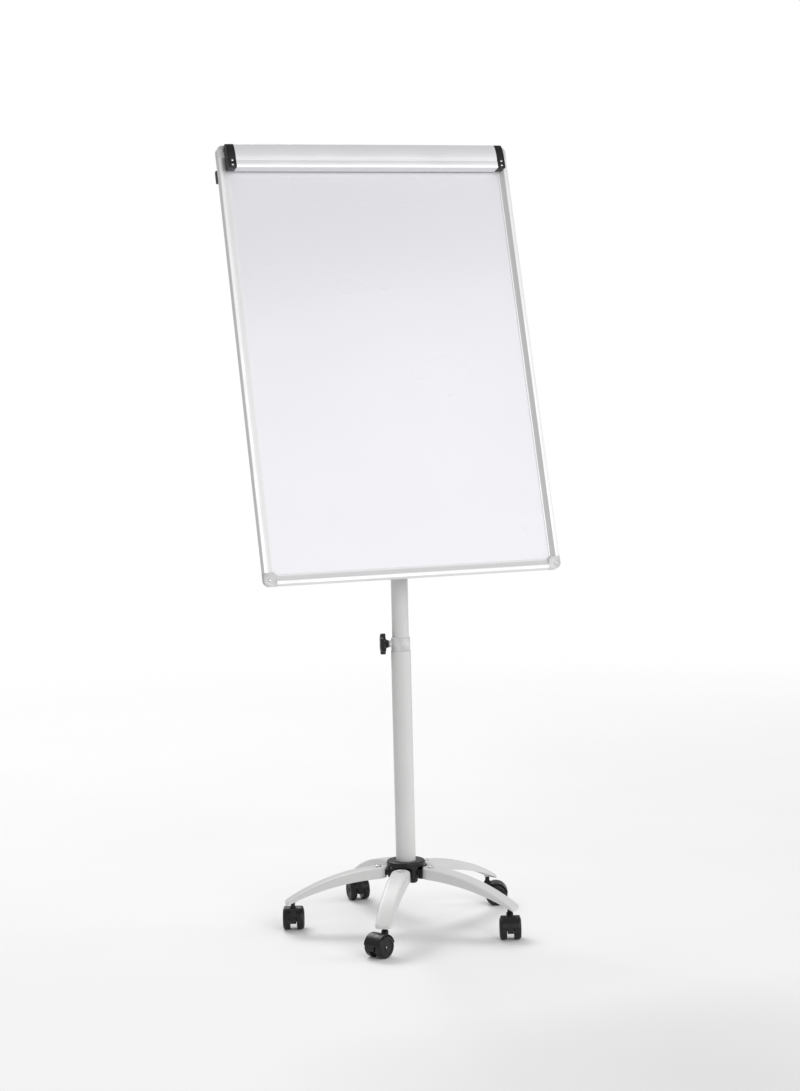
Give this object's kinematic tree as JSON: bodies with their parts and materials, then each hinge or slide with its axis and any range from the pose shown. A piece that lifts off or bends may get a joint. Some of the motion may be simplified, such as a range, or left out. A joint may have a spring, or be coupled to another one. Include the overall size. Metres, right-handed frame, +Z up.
{
  "type": "flip chart easel",
  "caption": "Mobile flip chart easel: a tilting framed writing board with a paper clamp on a telescopic column, with a star base on twin-wheel casters.",
  "frame": {"origin": "on the floor, under the axis of the column", "axes": "+Z up along the column, -Y out of the front of the board, +X along the board to the right of a person who faces its front"},
  "size_m": [0.702, 0.5769, 1.7838],
  "materials": {
    "painted_steel": "light grey powder coat, satin",
    "black_plastic": "black moulded plastic, fine grain",
    "grey_plastic": "light grey moulded plastic",
    "dark_plastic": "dark grey acetal",
    "wheel_plastic": "black nylon",
    "steel": "zinc-plated",
    "dark_steel": "dark grey painted steel",
    "anodised_aluminium": "clear anodised, fine drawn grain",
    "writing_white": "glossy white lacquered steel",
    "core_board": "light fibreboard, sawn edges",
    "back_foil": "thin mill-finish sheet",
    "rubber": "matt strip"
  },
  "bodies": {
    "base": {"base_hub": "black_plastic", "leg_1": "painted_steel", "leg_2": "painted_steel", "leg_3": "painted_steel", "leg_4": "painted_steel", "leg_5": "painted_steel", "leg_screws": "steel", "caster_stems": "dark_steel", "lower_column": "painted_steel", "column_collar": "grey_plastic", "column_bolt": "steel"},
    "caster_1": {"caster_1_hood": "black_plastic", "caster_1_axle": "steel"},
    "caster_2": {"caster_2_hood": "black_plastic", "caster_2_axle": "steel"},
    "caster_3": {"caster_3_hood": "black_plastic", "caster_3_axle": "steel"},
    "caster_4": {"caster_4_hood": "black_plastic", "caster_4_axle": "steel"},
    "caster_5": {"caster_5_hood": "black_plastic", "caster_5_axle": "steel"},
    "wheels_1": {"caster_1_wheels": "wheel_plastic"},
    "wheels_2": {"caster_2_wheels": "wheel_plastic"},
    "wheels_3": {"caster_3_wheels": "wheel_plastic"},
    "wheels_4": {"caster_4_wheels": "wheel_plastic"},
    "wheels_5": {"caster_5_wheels": "wheel_plastic"},
    "knob": {"height_knob": "black_plastic", "height_stud": "steel"},
    "guide": {"guide_bush": "dark_plastic"},
    "mast": {"upper_column": "painted_steel", "column_head": "dark_steel"},
    "board": {"writing_sheet": "writing_white", "board_core": "core_board", "back_sheet": "back_foil", "frame_left": "anodised_aluminium", "frame_right": "anodised_aluminium", "frame_top": "anodised_aluminium", "frame_bottom": "anodised_aluminium", "corner_caps": "grey_plastic", "corner_screws": "steel", "back_channel": "steel", "arm_guide": "anodised_aluminium", "guide_tabs": "steel", "back_screws": "steel", "tilt_bracket": "dark_steel", "tilt_bolt": "steel", "clamp_base": "anodised_aluminium", "clamp_springs": "steel"},
    "tilt_clamp": {"tilt_knob": "black_plastic"},
    "clamp": {"clamp_bar": "anodised_aluminium", "clamp_end_caps": "black_plastic", "clamp_cap_screws": "steel", "clamp_pin": "steel", "clamp_grip": "rubber"},
    "hook_left": {"pad_hook_left": "steel"},
    "hook_right": {"pad_hook_right": "steel"},
    "arm_l": {"arm_left": "anodised_aluminium", "arm_cap_left": "black_plastic"},
    "arm_r": {"arm_right": "anodised_aluminium", "arm_cap_right": "black_plastic"}
  },
  "joints": [
    {"name": "caster_1_swivel", "type": "hinge", "parent": "base", "child": "caster_1", "pos_m": [-0.0242, 0.26088, 0.05], "axis": [0, 0, 1], "continuous": true},
    {"name": "caster_2_swivel", "type": "hinge", "parent": "base", "child": "caster_2", "pos_m": [-0.25559, 0.0576, 0.05], "axis": [0, 0, 1], "continuous": true},
    {"name": "caster_3_swivel", "type": "hinge", "parent": "base", "child": "caster_3", "pos_m": [-0.13376, -0.22528, 0.05], "axis": [0, 0, 1], "continuous": true},
    {"name": "caster_4_swivel", "type": "hinge", "parent": "base", "child": "caster_4", "pos_m": [0.17292, -0.19683, 0.05], "axis": [0, 0, 1], "continuous": true},
    {"name": "caster_5_swivel", "type": "hinge", "parent": "base", "child": "caster_5", "pos_m": [0.24063, 0.10363, 0.05], "axis": [0, 0, 1], "continuous": true},
    {"name": "wheels_1_spin", "type": "hinge", "parent": "caster_1", "child": "wheels_1", "pos_m": [-0.0235, 0.28087, 0.025], "axis": [-0.9994, 0.0349, 0], "continuous": true},
    {"name": "wheels_2_spin", "type": "hinge", "parent": "caster_2", "child": "wheels_2", "pos_m": [-0.24875, 0.07639, 0.025], "axis": [-0.9397, 0.342, 0], "continuous": true},
    {"name": "wheels_3_spin", "type": "hinge", "parent": "caster_3", "child": "wheels_3", "pos_m": [-0.15108, -0.23528, 0.025], "axis": [0.5, -0.866, 0], "continuous": true},
    {"name": "wheels_4_spin", "type": "hinge", "parent": "caster_4", "child": "wheels_4", "pos_m": [0.16608, -0.21563, 0.025], "axis": [0.9397, -0.342, 0], "continuous": true},
    {"name": "wheels_5_spin", "type": "hinge", "parent": "caster_5", "child": "wheels_5", "pos_m": [0.25943, 0.09679, 0.025], "axis": [0.342, 0.9397, 0], "continuous": true},
    {"name": "height_knob_turn", "type": "hinge", "parent": "base", "child": "knob", "pos_m": [0, 0, 0.651], "axis": [-0.9659, 0.2588, 0], "range_deg": [0, 720]},
    {"name": "mast_height", "type": "slide", "parent": "base", "child": "guide", "axis": [0, 0, 1], "range_m": [-0.11, 0.18]},
    {"name": "mast_swivel", "type": "hinge", "parent": "guide", "child": "mast", "pos_m": [0, 0, 0.4], "axis": [0, 0, 1], "continuous": true},
    {"name": "board_tilt", "type": "hinge", "parent": "mast", "child": "board", "pos_m": [0, 0, 1.03], "axis": [-1, 0, 0], "range_deg": [-16.4, 45]},
    {"name": "tilt_knob_turn", "type": "hinge", "parent": "board", "child": "tilt_clamp", "pos_m": [0.02, 0, 1.03], "axis": [1, 0, 0], "range_deg": [0, 720]},
    {"name": "clamp_open", "type": "hinge", "parent": "board", "child": "clamp", "pos_m": [0, 0.15747, 1.77578], "axis": [-1, 0, 0], "range_deg": [0, 40], "stiffness_Nm_per_rad": 0.3, "springref_deg": -57.3},
    {"name": "hook_left_slide", "type": "slide", "parent": "board", "child": "hook_left", "axis": [1, 0, 0], "range_m": [-0.14, 0.13]},
    {"name": "hook_right_slide", "type": "slide", "parent": "board", "child": "hook_right", "axis": [1, 0, 0], "range_m": [-0.13, 0.14]},
    {"name": "arm_left_pull", "type": "slide", "parent": "board", "child": "arm_l", "axis": [-1, 0, 0], "range_m": [0, 0.45]},
    {"name": "arm_right_pull", "type": "slide", "parent": "board", "child": "arm_r", "axis": [1, 0, 0], "range_m": [0, 0.45]}
  ]
}
